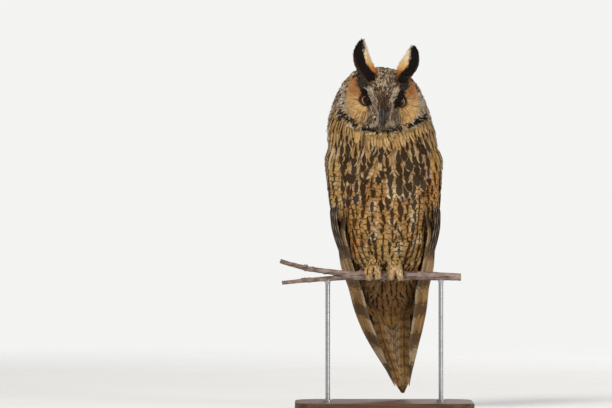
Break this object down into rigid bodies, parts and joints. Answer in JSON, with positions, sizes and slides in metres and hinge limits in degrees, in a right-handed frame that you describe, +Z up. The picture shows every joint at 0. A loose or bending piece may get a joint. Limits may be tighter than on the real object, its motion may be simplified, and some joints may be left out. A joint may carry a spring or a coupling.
{
  "type": "long-eared owl on a perch",
  "caption": "Life-size long-eared owl, upright and slim on a short forked branch, with raised ear tufts, held by a plain display stand.",
  "frame": {"origin": "middle of the stand base's flat underside, on the surface it stands on", "axes": "+Z up through the bird, -Y the way it faces, +X its left side"},
  "size_m": [0.2127, 0.14, 0.409],
  "materials": {
    "body_feathers": "soft buff feathers with dark brown streaks and fine bars",
    "face_feathers": "soft buff facial disc feathers, white brows, speckled grey crown",
    "flight_feathers": "matt brown and buff barred flight feathers",
    "dark_feathers": "black-brown tuft feathers with buff edges",
    "foot_feathers": "short soft buff feathers",
    "eye": "wet glossy orange iris and black pupil",
    "horn": "smooth dark horn",
    "bark": "rough grey-brown bark, pale cut ends",
    "stand_wood": "satin dark stained wood",
    "stand_steel": "brushed steel rod"
  },
  "bodies": {
    "root": {"bill_lower": "horn", "bill_upper": "horn", "claw_left_hind": "horn", "claw_left_inner": "horn", "claw_left_middle": "horn", "claw_left_outer": "horn", "claw_right_hind": "horn", "claw_right_inner": "horn", "claw_right_middle": "horn", "claw_right_outer": "horn", "ear_tuft_left": "dark_feathers", "ear_tuft_right": "dark_feathers", "eye_left": "eye", "eye_right": "eye", "foot_left": "foot_feathers", "foot_right": "foot_feathers", "head": "face_feathers", "leg_left": "foot_feathers", "leg_right": "foot_feathers", "neck": "body_feathers", "perch": "bark", "stand_base": "stand_wood", "stand_rod_left": "stand_steel", "stand_rod_right": "stand_steel", "tail": "flight_feathers", "torso": "body_feathers", "wing_left": "flight_feathers", "wing_right": "flight_feathers"}
  },
  "joints": []
}
